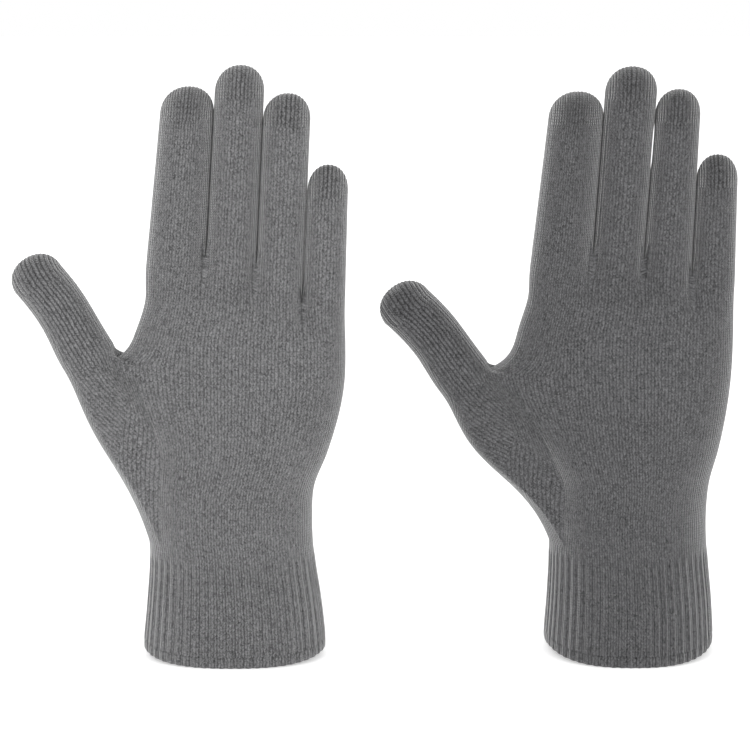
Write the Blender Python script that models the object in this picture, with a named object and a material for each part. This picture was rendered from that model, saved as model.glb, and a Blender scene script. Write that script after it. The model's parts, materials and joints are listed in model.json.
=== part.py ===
"""A pair of knitted touchscreen gloves, filled as if worn and standing on their cuffs, fingers up.

Every piece is a thin fabric shell. Each finger is a row of short tubes that meet on its knuckle lines,
and a closed tip of conductive yarn. Lengths are in millimetres and angles in degrees, and MM turns
them into metres where a mesh is made.
"""

import math
from dataclasses import dataclass

import bmesh
import bpy
import numpy as np
from mathutils import Vector

MM = 0.001

# Fabric and clearances
WALL = 1.6             # knitted fabric of the hand and the fingers
CUFF_WALL = 2.4        # ribbed fabric
SEAM_GAP = 0.3         # between two pieces that meet
JOINT_GAP = 0.5        # between two pieces at the axis of a joint
JOINT_MARGIN = 2.0     # extra angle cut from each side of a joint, in degrees
FINGER_GAP = 0.7       # between neighbouring fingers
WEB_LAP = 0.2          # by which neighbouring finger bases run into each other below the web

# Cuff
HEM_HEIGHT = 5.0
HEM_ROLL = 0.7         # by which the hem stands proud of the cuff
CUFF_HEIGHT = 48.0     # from the foot of the hem to the wrist joint
ELASTIC_HEIGHT = 8.0
ELASTIC_WALL = 0.8
ELASTIC_PLACE = 0.55   # middle of the elastic band, as a share of the cuff's height
ELASTIC_GAP = 0.6      # between the band and the cuff's inner wall

# Fingers
BASE_RISE = 10.0       # base joint above the web
JOINT_DEPTH = 0.3      # a joint's axis from the finger's middle towards the palm, over its half-depth
FINGER_SHARES = (0.40, 0.34, 0.26)  # straight stretches between the joints, as shares of what they leave
THUMB_SHARES = (0.5, 0.5)
TIP_ZONE = 13.0        # length knitted in conductive yarn
TIP_DOME = 10.0        # rounded end within the tip zone
FAN_RISE = 50.0        # height above the web row at which the finger tops' widths are given
FINGER_DEPTH = 0.9     # depth of a finger over its width
WEB_FOOT = 30.0        # below a finger's base joint, where its tube starts within the palm
WEB_LOW = 14.0         # below a base joint, where the lap between neighbours is full
WEB_FADE = 1.5         # height above the web over which the lap opens into the gap

# The ball of the thumb.
BALL_FOOT_PLACE = 0.46   # sideways place of its foot, as a share of the wrist's half-width
BALL_FOOT_WIDTH = 0.49   # half-width of its foot, as a share of the wrist's
BALL_FOOT_SHALLOW = 4.0  # by which its foot is shallower than the wrist, in half-depth
BALL_NECK = 11.0         # from its upper outline to the thumb's base joint
BALL_SPARE_WIDTH = 1.3   # half-width of the upper outline beyond the thumb's
BALL_SPARE_DEPTH = 0.5   # half-depth of the upper outline beyond the thumb's half-width

# Limits of the joints, towards the palm; the wrist also bends back
WRIST_FLEX = 40.0
WRIST_BACK = 30.0
FINGER_FLEX = (65.0, 90.0, 40.0)
LITTLE_FLEX = (65.0, 80.0, 30.0)
THUMB_FLEX = (40.0, 60.0)

# Roundness of each outline: 2 is an ellipse, and more is squarer
FINGER_ROUND = 2.2
PALM_ROUND = 2.3
DOME_ROUND = 2.4
FINGER_SIDES = 16
PALM_SIDES = 24

# Colours and finish
RIGHT_YARN = (0.184, 0.184, 0.188)
LEFT_YARN = (0.136, 0.136, 0.140)
TIP_SHADE = 0.82
ELASTIC_WHITE = (0.62, 0.62, 0.60)
YARN_ROUGHNESS = 0.92


@dataclass
class Finger:
    name: str
    web_half_width: float
    top_half_width: float
    web_rise: float         # its higher crotch above the web row
    length: float           # that crotch to the tip
    flex: tuple


@dataclass
class Thumb:
    root_out: float         # base joint beyond the finger row's edge
    root_drop: float        # base joint below the web row
    lean: float             # degrees away from the fingers
    length: float           # base joint to tip
    half_width: float
    top_half_width: float
    ball_half_width: float  # of the ball of the thumb, halfway to the wrist
    web: float              # by which the thumb's foot widens towards the palm


@dataclass
class Glove:
    side: str
    palm_side: int          # +1 when the palm faces +Y, -1 when it faces -Y
    setback: float          # of the glove's middle along Y
    colour: tuple
    hem: tuple              # half-width and half-depth
    wrist: tuple
    palm_length: float      # wrist joint to the web row
    palm_shift: float       # middle of the palm, from the cuff's centre line
    row_shift: float        # centre of the finger row at the web, from the cuff's centre line
    top_shift: float        # and FAN_RISE above it
    row_tilt: float         # slope of the web row towards the little finger
    knuckle_depth: float    # half-depth of the hand below the fingers
    fingers: tuple
    thumb: Thumb


RIGHT = Glove(
    side="right", palm_side=1, setback=-8.0, colour=RIGHT_YARN, hem=(38.8, 22.8), wrist=(34.5, 21.5),
    palm_length=112.0, palm_shift=3.5, row_shift=7.0, top_shift=10.2, row_tilt=-0.3, knuckle_depth=14.0,
    fingers=(
        Finger("index", 11.0, 10.1, 11.0, 70.7, FINGER_FLEX),
        Finger("middle", 10.2, 9.9, 11.0, 79.3, FINGER_FLEX),
        Finger("ring", 9.5, 9.4, 6.5, 72.3, FINGER_FLEX),
        Finger("little", 8.4, 7.9, -7.0, 56.4, LITTLE_FLEX),
    ),
    thumb=Thumb(28.4, 26.5, 30.5, 43.5, 11.3, 10.4, 15.5, 3.0),
)
LEFT = Glove(
    side="left", palm_side=-1, setback=0.0, colour=LEFT_YARN, hem=(36.2, 30.5), wrist=(33.3, 23.0),
    palm_length=112.0, palm_shift=-3.2, row_shift=0.3, top_shift=3.0, row_tilt=-0.15, knuckle_depth=14.0,
    fingers=(
        Finger("index", 11.0, 10.2, 10.4, 68.3, FINGER_FLEX),
        Finger("middle", 10.3, 10.3, 10.4, 78.6, FINGER_FLEX),
        Finger("ring", 9.9, 9.7, 8.5, 71.1, FINGER_FLEX),
        Finger("little", 8.8, 8.2, 0.5, 52.1, LITTLE_FLEX),
    ),
    thumb=Thumb(32.7, 37.0, 37.5, 43.8, 11.2, 10.4, 14.5, 7.0),
)
GLOVE_SPACING = 168.0  # between the two cuffs' centre lines


def unit_outline(sides, roundness):
    """Superellipse of half-sizes 1: each coordinate is the cosine or sine, raised to 2 over the roundness."""
    turn = np.arange(sides) * 2 * math.pi / sides
    across, deep = np.cos(turn), np.sin(turn)
    across[np.abs(across) < 1e-9] = 0
    deep[np.abs(deep) < 1e-9] = 0
    power = 2 / roundness
    return np.sign(across) * np.abs(across) ** power, np.sign(deep) * np.abs(deep) ** power


@dataclass
class Frame:
    """Where a tube stands: its start, its direction, its width's direction and the palm's direction."""

    start: np.ndarray
    along: np.ndarray
    across: np.ndarray
    palm: np.ndarray
    sides: int = FINGER_SIDES
    roundness: float = FINGER_ROUND

    def ring(self, height, half_width, half_depth, cut=None):
        """One outline at a height. cut gives how much further along each point stands, by its depth."""
        across, deep = unit_outline(self.sides, self.roundness)
        rise = height + (cut(deep * half_depth) if cut else np.zeros(self.sides))
        return (
            self.start
            + np.outer(rise, self.along)
            + np.outer(across * half_width, self.across)
            + np.outer(deep * half_depth, self.palm)
        )


def leaning_frame(glove, x, height, lean, **outline):
    """Frame whose direction leans from upright towards +X, in the plane of the hand."""
    angle = math.radians(lean)
    return Frame(
        start=np.array([x, 0.0, height]),
        along=np.array([math.sin(angle), 0.0, math.cos(angle)]),
        across=np.array([math.cos(angle), 0.0, -math.sin(angle)]),
        palm=np.array([0.0, glove.palm_side, 0.0]),
        **outline,
    )


def bend_slope(limit):
    return math.tan(math.radians(limit / 2 + JOINT_MARGIN)) if limit else 0.0


def joint_cut(direction, to_palm, to_back=0.0, axis_depth=0.0):
    """Slopes a tube's end away from the joint's axis by half of each limit, so that it clears as it bends."""

    def cut(depth):
        beyond = depth - axis_depth
        slope = np.where(beyond > 0, beyond * bend_slope(to_palm), -beyond * bend_slope(to_back))
        return direction * (JOINT_GAP + slope)

    return cut


def flat_cut(direction):
    return lambda depth: np.full(len(depth), direction * SEAM_GAP / 2)


def strip_faces(rings, sides, first=0):
    """Quads between each ring and the next."""
    low = first + np.arange(rings - 1)[:, None] * sides
    here = np.arange(sides)
    following = (here + 1) % sides
    quads = [low + here, low + following, low + sides + following, low + sides + here]
    return np.stack(quads, axis=2).reshape(-1, 4).tolist()


def make_object(name, points, faces, origin, material):
    """Object with its origin at a given point, its mesh in metres and its faces turned outwards."""
    mesh = bpy.data.meshes.new(name)
    mesh.from_pydata(((points - origin) * MM).tolist(), [], faces)
    body = bmesh.new()
    body.from_mesh(mesh)
    bmesh.ops.recalc_face_normals(body, faces=body.faces)
    body.to_mesh(mesh)
    body.free()
    mesh.shade_smooth()
    mesh.set_sharp_from_angle(angle=math.radians(50))
    mesh.materials.append(material)
    made = bpy.data.objects.new(name, mesh)
    bpy.context.collection.objects.link(made)
    made["origin_mm"] = tuple(float(value) for value in origin)
    return made


def make_tube(name, outer, inner, origin, material):
    """Shell that is open at both ends: up its outside and back down its inside."""
    rings = outer + inner[::-1]
    sides = len(rings[0])
    faces = strip_faces(len(rings) + 1, sides)
    points = np.concatenate(rings)
    return make_object(name, points, (np.array(faces) % len(points)).tolist(), origin, material)


def make_cup(name, outer, inner, outer_pole, inner_pole, origin, material):
    """Shell that is open at its foot and closed at its tip."""
    rings = inner[::-1] + outer
    sides = len(rings[0])
    points = np.concatenate(rings + [[inner_pole], [outer_pole]])
    faces = strip_faces(len(rings), sides)
    last = (len(rings) - 1) * sides
    for corner in range(sides):
        following = (corner + 1) % sides
        faces.append([len(points) - 2, following, corner])
        faces.append([len(points) - 1, last + corner, last + following])
    return make_object(name, points, faces, origin, material)


def make_loft(name, rings, origin, material):
    """Closed solid through a row of outlines, with a flat face at each end."""
    sides = len(rings[0])
    faces = strip_faces(len(rings), sides)
    faces.append(list(range(sides)))
    faces.append(list(range((len(rings) - 1) * sides, len(rings) * sides)))
    return make_object(name, np.concatenate(rings), faces, origin, material)


def hang(child, parent):
    """Parents one object to another and places it by the distance between their origins."""
    child.parent = parent
    offset = Vector(child["origin_mm"]) - Vector(parent["origin_mm"])
    child.location = offset * MM


def combine(target, operation, tool):
    """Adds a helper to the target, or takes it away, and hides the helper."""
    modifier = target.modifiers.new(tool.name, "BOOLEAN")
    modifier.operation = operation
    modifier.solver = "EXACT"
    modifier.object = tool
    tool.hide_render = True
    tool.display_type = "WIRE"
    hang(tool, target)


def make_material(name, colour, roughness):
    material = bpy.data.materials.new(name)
    material.use_nodes = True
    shader = material.node_tree.nodes["Principled BSDF"]
    shader.inputs["Base Color"].default_value = (*colour, 1.0)
    shader.inputs["Roughness"].default_value = roughness
    shader.inputs["Metallic"].default_value = 0.0
    material.diffuse_color = (*colour, 1.0)
    return material


def make_materials(glove):
    tip_colour = tuple(TIP_SHADE * value for value in glove.colour)
    return {
        "knit": make_material(f"{glove.side}_knit", glove.colour, YARN_ROUGHNESS),
        "rib": make_material(f"{glove.side}_rib", glove.colour, YARN_ROUGHNESS),
        "tip": make_material(f"{glove.side}_conductive_knit", tip_colour, YARN_ROUGHNESS),
        "elastic": make_material(f"{glove.side}_elastic", ELASTIC_WHITE, YARN_ROUGHNESS),
    }


def cuff_half_sizes(glove, height):
    """Half-width and half-depth of the cuff's outside: they run straight from the hem to the wrist."""
    share = height / CUFF_HEIGHT
    return tuple(low + (high - low) * share for low, high in zip(glove.hem, glove.wrist))


def cuff_ring(glove, frame, height, inset, cut=None):
    """Outline of the cuff, each point with the half-sizes that the cuff has at that point's own height."""
    half_width, half_depth = cuff_half_sizes(glove, height)
    if cut:
        deep = unit_outline(frame.sides, frame.roundness)[1]
        half_width, half_depth = cuff_half_sizes(glove, height + cut(deep * (half_depth - inset)))
    return frame.ring(height, half_width - inset, half_depth - inset, cut)


def build_cuff(glove, materials):
    """The ribbed tube, its rolled hem below it and the elastic band inside it."""
    frame = leaning_frame(glove, 0.0, 0.0, 0.0, sides=PALM_SIDES, roundness=PALM_ROUND)
    origin = np.zeros(3)
    wrist_cut = joint_cut(-1, WRIST_FLEX, WRIST_BACK)
    foot = HEM_HEIGHT + SEAM_GAP
    cuff = make_tube(
        f"{glove.side}_ribbed_cuff",
        [cuff_ring(glove, frame, foot, 0.0), cuff_ring(glove, frame, CUFF_HEIGHT, 0.0, wrist_cut)],
        [
            cuff_ring(glove, frame, foot, CUFF_WALL),
            cuff_ring(glove, frame, CUFF_HEIGHT, CUFF_WALL, wrist_cut),
        ],
        origin,
        materials["rib"],
    )
    roll = HEM_ROLL
    hem = make_tube(
        f"{glove.side}_cuff_hem",
        [
            cuff_ring(glove, frame, 0.0, roll),
            cuff_ring(glove, frame, HEM_HEIGHT * 0.25, -roll),
            cuff_ring(glove, frame, HEM_HEIGHT * 0.75, -roll),
            cuff_ring(glove, frame, HEM_HEIGHT, 0.0),
        ],
        [cuff_ring(glove, frame, 0.0, CUFF_WALL + roll), cuff_ring(glove, frame, HEM_HEIGHT, CUFF_WALL)],
        origin,
        materials["rib"],
    )
    middle = CUFF_HEIGHT * ELASTIC_PLACE - HEM_HEIGHT / 2
    levels = (middle - ELASTIC_HEIGHT / 2, middle + ELASTIC_HEIGHT / 2)
    outside = CUFF_WALL + ELASTIC_GAP
    elastic = make_tube(
        f"{glove.side}_cuff_elastic",
        [cuff_ring(glove, frame, level, outside) for level in levels],
        [cuff_ring(glove, frame, level, outside + ELASTIC_WALL) for level in levels],
        origin,
        materials["elastic"],
    )
    hang(hem, cuff)
    hang(elastic, cuff)
    return cuff


def row_half_width(glove):
    widths = sum(2 * finger.web_half_width for finger in glove.fingers)
    return (widths + (len(glove.fingers) - 1) * FINGER_GAP) / 2


def row_centres(half_widths, middle):
    """Centres of tubes that stand side by side with a gap between them, about a middle."""
    pitches = np.array(half_widths[:-1]) + np.array(half_widths[1:]) + FINGER_GAP
    places = np.concatenate([[half_widths[0]], half_widths[0] + np.cumsum(pitches)])
    return places - (places[-1] + half_widths[-1]) / 2 + middle


def row_height(glove):
    return CUFF_HEIGHT + glove.palm_length


def finger_frames(glove):
    """A frame on each finger's base joint. Its line runs through its place in the web row and in the row above."""
    web = row_centres([finger.web_half_width for finger in glove.fingers], glove.row_shift)
    top = row_centres([finger.top_half_width for finger in glove.fingers], glove.top_shift)
    frames = []
    for finger, low, high in zip(glove.fingers, web, top):
        lean = math.degrees(math.atan2(high - low, FAN_RISE))
        rise = finger.web_rise + BASE_RISE
        x = low + (high - low) * rise / FAN_RISE
        height = row_height(glove) + rise
        frames.append(leaning_frame(glove, x, height, lean))
    return frames


def finger_half_width(glove, finger, height):
    share = (height - row_height(glove)) / FAN_RISE
    return finger.web_half_width + (finger.top_half_width - finger.web_half_width) * share


def sized_ring(frame, half_width_at, height, inset=0.0, cut=None):
    half_width = half_width_at(height)
    return frame.ring(height, half_width - inset, half_width * FINGER_DEPTH - inset, cut)


def joint_places(length, half_depth, limits, shares):
    """Distance of each joint from the first: the sloped ends take what they need and the shares split the rest."""
    cuts = [JOINT_GAP + (1 - JOINT_DEPTH) * half_depth * bend_slope(limit) for limit in limits]
    straight = length - TIP_ZONE - cuts[0] - 2 * sum(cuts[1:])
    places = [0.0]
    for before, after, share in zip(cuts, cuts[1:], shares):
        places.append(places[-1] + before + share * straight + after)
    return places


def finger_cut(direction, half_width, limit):
    return joint_cut(direction, limit, axis_depth=JOINT_DEPTH * FINGER_DEPTH * half_width)


def build_digit(glove, name, frame, half_width_at, length, limits, shares, hand, materials):
    """The tubes from joint to joint and the closed tip, each hung on the piece before it."""
    places = joint_places(length, half_width_at(0.0) * FINGER_DEPTH, limits, shares)
    ends = places[1:] + [length - TIP_ZONE]
    part_names = ("base", "middle", "end") if len(places) == 3 else ("base", "end")
    parent = hand
    for number, (low, high, part) in enumerate(zip(places, ends, part_names)):
        low_cut = finger_cut(1, half_width_at(low), limits[number])
        high_cut = flat_cut(-1)
        if number + 1 < len(places):
            high_cut = finger_cut(-1, half_width_at(high), limits[number + 1])
        walls = [
            [
                sized_ring(frame, half_width_at, low, inset, low_cut),
                sized_ring(frame, half_width_at, high, inset, high_cut),
            ]
            for inset in (0.0, WALL)
        ]
        axis_depth = JOINT_DEPTH * FINGER_DEPTH * half_width_at(low)
        origin = frame.start + frame.along * low + frame.palm * axis_depth
        piece = make_tube(f"{glove.side}_{name}_{part}", *walls, origin, materials["knit"])
        hang(piece, parent)
        parent = piece
    tip = build_tip(glove, name, frame, half_width_at, length, materials)
    hang(tip, parent)


def dome_rings(frame, half_width, length, inset):
    """Outlines of a rounded end: a quarter superellipse from the full width to the pole."""
    start = length - TIP_DOME
    turns = np.radians([0.0, 30.0, 55.0, 74.0])
    rings = []
    for turn in turns:
        height = start + (TIP_DOME - inset) * math.sin(turn) ** (2 / DOME_ROUND)
        share = math.cos(turn) ** (2 / DOME_ROUND)
        wide = (half_width - inset) * share
        deep = (half_width * FINGER_DEPTH - inset) * share
        rings.append(frame.ring(height, wide, deep))
    return rings


def build_tip(glove, name, frame, half_width_at, length, materials):
    foot = length - TIP_ZONE
    half_width = half_width_at(length - TIP_DOME)
    shells = []
    poles = []
    for inset in (0.0, WALL):
        first = sized_ring(frame, half_width_at, foot, inset, flat_cut(1))
        shells.append([first] + dome_rings(frame, half_width, length, inset))
        poles.append(frame.start + frame.along * (length - inset))
    origin = frame.start + frame.along * foot
    return make_cup(f"{glove.side}_{name}_tip", *shells, *poles, origin, materials["tip"])


def palm_rings(glove, inset):
    """Outlines of the hand from below the wrist to the web row, without the thumb."""
    row = row_half_width(glove)
    wrist_width, wrist_depth = glove.wrist
    knuckle = glove.knuckle_depth
    finger_depth = max(finger.web_half_width for finger in glove.fingers) * FINGER_DEPTH
    middle_shift = glove.palm_shift
    upper_shift = (glove.palm_shift + glove.row_shift) / 2
    # share of the way up, sideways shift, half-width, half-depth, share of the tilt
    stations = (
        (-0.12, 0.0, wrist_width, wrist_depth, 0.0),
        (0.10, 0.0, wrist_width, wrist_depth, 0.0),
        (0.36, 0.6 * middle_shift, row - 1.5, wrist_depth - 1.0, 0.0),
        (0.60, middle_shift, row + 3.0, (wrist_depth + knuckle) / 2, 0.3),
        (0.80, upper_shift, row + 2.0, knuckle + 1.5, 0.6),
        (0.95, glove.row_shift, row - 0.2, knuckle - 1.0, 1.0),
        (1.00, glove.row_shift, row - 0.5, finger_depth, 1.0),
    )
    rings = []
    for share, shift, half_width, half_depth, tilt in stations:
        top = inset if share == 1.0 else 0.0
        frame = leaning_frame(glove, shift, 0.0, 0.0, sides=PALM_SIDES, roundness=PALM_ROUND)
        frame.across = np.array([1.0, 0.0, glove.row_tilt * tilt])
        height = CUFF_HEIGHT + glove.palm_length * share - top
        rings.append(frame.ring(height, half_width - inset, half_depth - inset))
    return rings


def thumb_frame(glove):
    thumb = glove.thumb
    x = glove.row_shift - row_half_width(glove) - thumb.root_out
    return leaning_frame(glove, x, row_height(glove) - thumb.root_drop, -thumb.lean)


def thumb_ball_rings(glove, inset):
    """Outlines from the wrist through the ball of the thumb to just below its base joint."""
    frame = thumb_frame(glove)
    thumb = glove.thumb
    upper = frame.start - frame.along * BALL_NECK
    lower = np.array([-BALL_FOOT_PLACE * glove.wrist[0], 0.0, CUFF_HEIGHT + BALL_NECK])
    run = upper - lower
    lean = math.degrees(math.atan2(run[0], run[2]))
    middle = (upper + lower) / 2
    foot = upper + frame.across * thumb.web / 2
    rings = []
    low_width = BALL_FOOT_WIDTH * glove.wrist[0]
    low_depth = glove.wrist[1] - BALL_FOOT_SHALLOW
    top_width = thumb.half_width + BALL_SPARE_WIDTH + thumb.web / 2
    top_depth = thumb.half_width + BALL_SPARE_DEPTH
    for centre, angle, half_width, half_depth in (
        (lower, lean, low_width, low_depth),
        (middle, lean, thumb.ball_half_width, thumb.ball_half_width),
        (foot, -thumb.lean, top_width, top_depth),
    ):
        place = leaning_frame(glove, centre[0], centre[2], angle)
        rings.append(place.ring(0.0, half_width - inset, half_depth - inset))
    return rings


def build_hand(glove, materials):
    """The palm, the ball of the thumb and the finger bases as one shell, open at the wrist and at each base joint."""
    origin = np.array([0.0, 0.0, CUFF_HEIGHT])
    knit = materials["knit"]
    side = glove.side
    hand = make_loft(f"{side}_hand", palm_rings(glove, 0.0), origin, knit)
    fillers = []
    cutters = [make_loft(f"{side}_palm_space", palm_rings(glove, WALL), origin, knit)]

    thumb = glove.thumb
    frame = thumb_frame(glove)
    form_cut = finger_cut(-1, thumb.half_width, THUMB_FLEX[0])
    for inset, end, end_cut, made, label in (
        (0.0, 0.0, form_cut, fillers, "ball_form"),
        (WALL, JOINT_GAP, None, cutters, "ball_space"),
    ):
        rings = thumb_ball_rings(glove, inset)
        rings.append(sized_ring(frame, lambda height: thumb.half_width, end, inset, end_cut))
        made.append(make_loft(f"{side}_thumb_{label}", rings, origin, knit))

    for finger, frame in zip(glove.fingers, finger_frames(glove)):
        half_width_at = finger_width_along(glove, finger, frame)
        lap = FINGER_GAP / 2 + WEB_LAP
        form_cut = finger_cut(-1, half_width_at(0.0), finger.flex[0])
        for inset, spread, end, end_cut, made, label in (
            (0.0, lap, 0.0, form_cut, fillers, "form"),
            (WALL, 0.0, JOINT_GAP, None, cutters, "space"),
        ):
            rings = [
                sized_ring(frame, half_width_at, -WEB_FOOT, inset),
                sized_ring(frame, half_width_at, -WEB_LOW, inset - spread),
                sized_ring(frame, half_width_at, -BASE_RISE, inset - spread),
                sized_ring(frame, half_width_at, WEB_FADE - BASE_RISE, inset),
                sized_ring(frame, half_width_at, end, inset, end_cut),
            ]
            made.append(make_loft(f"{side}_{finger.name}_{label}", rings, origin, knit))

    for filler in fillers:
        combine(hand, "UNION", filler)
    for cutter in cutters:
        combine(hand, "DIFFERENCE", cutter)
    combine(hand, "DIFFERENCE", wrist_wedge(glove, origin, knit))
    return hand


def wrist_wedge(glove, origin, material):
    """Block below the hand whose top falls to the wrist joint's axis from the front and from the back."""
    reach = 4 * glove.wrist[1]
    depths = np.array([-reach, 0.0, reach])
    tops = CUFF_HEIGHT + joint_cut(1, WRIST_FLEX, WRIST_BACK)(depths)
    depth = np.array([0.0, reach, reach, 0.0, -reach, -reach]) * glove.palm_side
    height = np.array([0.0, 0.0, tops[2], tops[1], tops[0], 0.0])
    rings = [np.column_stack([np.full(len(depth), x), depth, height]) for x in (-reach, reach)]
    return make_loft(f"{glove.side}_wrist_cut", rings, origin, material)


def finger_width_along(glove, finger, frame):
    """Half-width of a finger by its distance from the base joint."""
    base = frame.start[2]
    return lambda distance: finger_half_width(glove, finger, base + distance * frame.along[2])


def build_glove(glove, x):
    materials = make_materials(glove)
    cuff = build_cuff(glove, materials)
    hand = build_hand(glove, materials)
    hang(hand, cuff)
    for finger, frame in zip(glove.fingers, finger_frames(glove)):
        length = finger.length - BASE_RISE
        width_at = finger_width_along(glove, finger, frame)
        build_digit(
            glove, finger.name, frame, width_at, length, finger.flex, FINGER_SHARES, hand, materials
        )
    thumb = glove.thumb
    frame = thumb_frame(glove)

    def width_at(distance):
        share = min(max(distance / thumb.length, 0.0), 1.0)
        return thumb.half_width + (thumb.top_half_width - thumb.half_width) * share

    build_digit(
        glove, "thumb", frame, width_at, thumb.length, THUMB_FLEX, THUMB_SHARES, hand, materials
    )
    cuff.location = (x * MM, glove.setback * MM, 0.0)
    return cuff


def centre_pair(cuffs):
    """Moves both gloves so that the middle of the pair's footprint box is the origin."""
    bpy.context.view_layer.update()
    corners = []
    for made in bpy.data.objects:
        if not made.hide_render:
            corners += [made.matrix_world @ Vector(corner) for corner in made.bound_box]
    corners = np.array(corners)
    middle = (corners.min(axis=0) + corners.max(axis=0)) / 2
    for cuff in cuffs:
        cuff.location.x -= middle[0]
        cuff.location.y -= middle[1]


def main():
    for made in list(bpy.data.objects):
        bpy.data.objects.remove(made, do_unlink=True)
    cuffs = [build_glove(RIGHT, -GLOVE_SPACING / 2), build_glove(LEFT, GLOVE_SPACING / 2)]
    centre_pair(cuffs)


main()
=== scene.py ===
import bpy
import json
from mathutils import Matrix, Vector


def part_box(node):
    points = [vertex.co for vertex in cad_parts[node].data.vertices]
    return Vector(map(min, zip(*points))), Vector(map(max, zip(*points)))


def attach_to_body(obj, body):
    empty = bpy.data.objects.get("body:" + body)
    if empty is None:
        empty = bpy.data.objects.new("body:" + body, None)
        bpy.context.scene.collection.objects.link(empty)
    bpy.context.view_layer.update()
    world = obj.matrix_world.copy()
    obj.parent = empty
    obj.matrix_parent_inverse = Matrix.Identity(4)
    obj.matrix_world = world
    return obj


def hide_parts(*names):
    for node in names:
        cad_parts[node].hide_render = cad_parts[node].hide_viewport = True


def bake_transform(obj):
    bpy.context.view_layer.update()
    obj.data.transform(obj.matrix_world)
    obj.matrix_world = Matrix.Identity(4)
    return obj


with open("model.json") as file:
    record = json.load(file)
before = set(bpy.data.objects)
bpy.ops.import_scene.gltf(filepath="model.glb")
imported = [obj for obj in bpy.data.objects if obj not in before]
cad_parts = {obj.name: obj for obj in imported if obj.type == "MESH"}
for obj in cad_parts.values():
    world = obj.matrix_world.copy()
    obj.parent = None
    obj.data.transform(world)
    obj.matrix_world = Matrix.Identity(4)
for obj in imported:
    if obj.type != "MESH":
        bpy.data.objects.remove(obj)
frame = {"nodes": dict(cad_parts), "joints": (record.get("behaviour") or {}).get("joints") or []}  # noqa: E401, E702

import json
import math

import bpy
import numpy as np
from mathutils import Vector

bl_info = {
    "name": "Touchscreen Gloves",
    "version": (1, 0, 0),
    "blender": (4, 5, 0),
    "location": "3D View > Sidebar > Gloves",
    "description": "Builds a pair of knitted gloves with conductive fingertips",
    "category": "Object",
}

MM = 0.001
FINGERS = ("index", "middle", "ring", "little")
LENGTHS = ("base", "middle", "end")

# Powers of the superellipses that the sections follow, and a finger's depth as a share of its width.
PALM_POWER = 2.3
FINGER_POWER = 2.2
DOME_POWER = 2.15
HEM_POWER = 2.6
FINGER_DEPTH = 0.9

# Where a section's front ends and its side begins.
CORNER = math.radians(32.0)
PALM_CORNER = math.radians(16.0)
THUMB_CORNER = math.radians(45.0)

# All lengths are in millimetres from here to the settings, and heights are above the floor.
FINGER_ROW = 160.0  # height at which the fingers' lower widths are given
FAN_RISE = 50.0  # from there to the height of their upper widths
FINGER_GAP = 0.7
FINGER_SPARE = 0.34  # by which each finger fills half of the gap beside it
SIDE_RUN = 10.0  # fabric on a finger's side, between front and back
FINGER_DOME = 11.0
THUMB_DOME = 10.0
CROTCH_BLEND = 18.0  # below the crotches, over which the palm turns into four fingers
FOOT_BLEND = 9.0  # above the crotches, over which each finger takes its own section
CROTCH_RISE = 1.0
WRIST_REACH = 17.0  # above and below the wrist's joint, over which the fabric bends
WALE_HEIGHT = 100.0  # where the wales are counted
RIB_HEIGHT = 24.0  # where the ribs are counted
HEM_RISE = 28.0  # over which the hem's lift at the sides fades
HEM_HALF = 1.0  # half of the rolled hem's thickness
HEM_TUCK = 0.25  # by which the hem reaches up behind the cuff
HEM_WALL = 1.2
SLIT = (204.0, 228.0, 7.0)  # from, to and fade of the slit between two fingers
THUMB_LENGTH = 43.6
THUMB_FOOT = -5.0  # the thumb's lowest own section, from its joint
THUMB_SPREAD = 1.3  # by which the thumb widens at its foot
THUMB_ARCH = 0.7

# Painted shade in the grooves between wales, by place: 0 is the plain knit, 1 the deepest. The cuff's rib valleys
# and the finger sides that touch get it where shade falls; the thumb, the conductive tip and its rim get it to
# darken their wale lines.
# Painted shade in the cuff's rib valleys.
RIB_VALLEY_SHADE = 0.28
THUMB_GROOVE = 0.35
TIP_GROOVE = 0.3
# Painted shade between fingers that touch.
FINGER_CONTACT_SHADE = 0.75

# Starts of the random shades of the stitches.
SEEDS = {"right": 3.0, "left": 8.0}

# Each glove's numbers are measured from the centre of its own cuff.
SHAPES = {
    "right": {
        "hem": (38.8, 22.8),
        "wrist": (34.5, 21.5),
        "row_shift": 7.0,
        "top_shift": 10.2,
        "palm_shift": 3.5,
        "knuckle": 14.0,
        "web": (11.0, 10.2, 9.5, 8.4),
        "top": (10.1, 9.9, 9.4, 7.9),
        "crotches": (171.0, 166.7, 152.7),
        "thumb": (11.0, 10.9),
        "index_out": (2.3, 1.9),
        "thumb_bottom": 50.0,
        "thumb_crotch": 128.0,
        "web_flare": 8.5,
        "knuckle_out": 2.4,
        "ball_out": 2.6,
        "thumb_bow": 3.2,
        "hem_lift": 3.0,
        "slit": 0.0,
    },
    "left": {
        "hem": (36.0, 30.5),
        "wrist": (33.3, 23.0),
        "row_shift": 0.3,
        "top_shift": 2.6,
        "palm_shift": -3.2,
        "knuckle": 14.0,
        "web": (11.0, 10.3, 9.9, 8.8),
        "top": (10.2, 10.3, 9.2, 8.0),
        "crotches": (170.4, 168.7, 161.1),
        "thumb": (11.2, 11.4),
        "index_out": (3.2, 2.3),
        "thumb_bottom": 48.0,
        "thumb_crotch": 122.0,
        "web_flare": 12.5,
        "knuckle_out": 3.6,
        "ball_out": 4.6,
        "thumb_bow": 3.6,
        "hem_lift": 4.0,
        "slit": 0.27,
    },
}

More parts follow.
